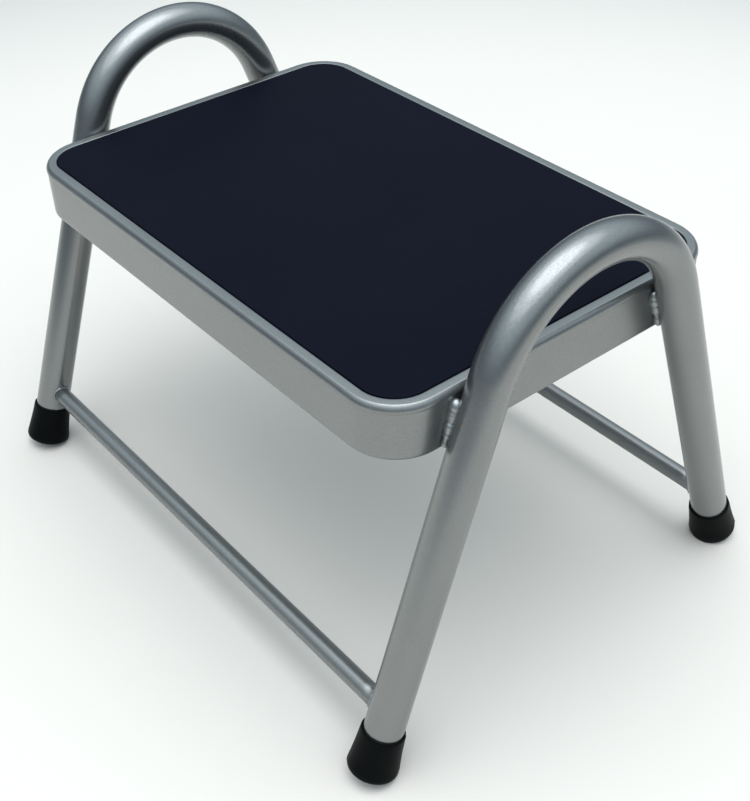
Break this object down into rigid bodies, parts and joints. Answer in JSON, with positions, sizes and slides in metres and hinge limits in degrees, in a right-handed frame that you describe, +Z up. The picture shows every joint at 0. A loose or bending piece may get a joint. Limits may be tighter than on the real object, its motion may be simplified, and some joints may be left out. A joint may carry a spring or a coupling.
{
  "type": "step stool",
  "caption": "Low fixed step stool: rubber-matted pressed steel tray welded between bent-tube hoops that form the splayed legs and round handles, with low stretchers and rubber feet.",
  "frame": {"origin": "on the floor, under the middle of the tread", "axes": "+Z up; +X along the long side of the tread, from the left hoop to the right hoop; +Y from the front stretcher to the rear one"},
  "size_m": [0.4486, 0.3508, 0.3186],
  "materials": {
    "silver_paint": "semi-gloss silver metallic enamel",
    "rod_paint": "semi-gloss silver metallic enamel, darker",
    "weld_paint": "lumpy weld bead under silver enamel",
    "tread_rubber": "smooth matt dark navy",
    "foot_rubber": "satin black"
  },
  "bodies": {
    "root": {"platform_tray": "silver_paint", "tread_mat": "tread_rubber", "stiffener_left": "silver_paint", "stiffener_right": "silver_paint", "hoop_left": "silver_paint", "hoop_right": "silver_paint", "stretcher_front": "rod_paint", "stretcher_rear": "rod_paint", "foot_front_left": "foot_rubber", "foot_front_right": "foot_rubber", "foot_rear_left": "foot_rubber", "foot_rear_right": "foot_rubber", "stretcher_weld_front_left": "weld_paint", "stretcher_weld_front_right": "weld_paint", "stretcher_weld_rear_left": "weld_paint", "stretcher_weld_rear_right": "weld_paint", "hoop_weld_front_left_outer": "weld_paint", "hoop_weld_front_left_inner": "weld_paint", "hoop_weld_front_right_outer": "weld_paint", "hoop_weld_front_right_inner": "weld_paint", "hoop_weld_rear_left_outer": "weld_paint", "hoop_weld_rear_left_inner": "weld_paint", "hoop_weld_rear_right_outer": "weld_paint", "hoop_weld_rear_right_inner": "weld_paint"}
  },
  "joints": []
}
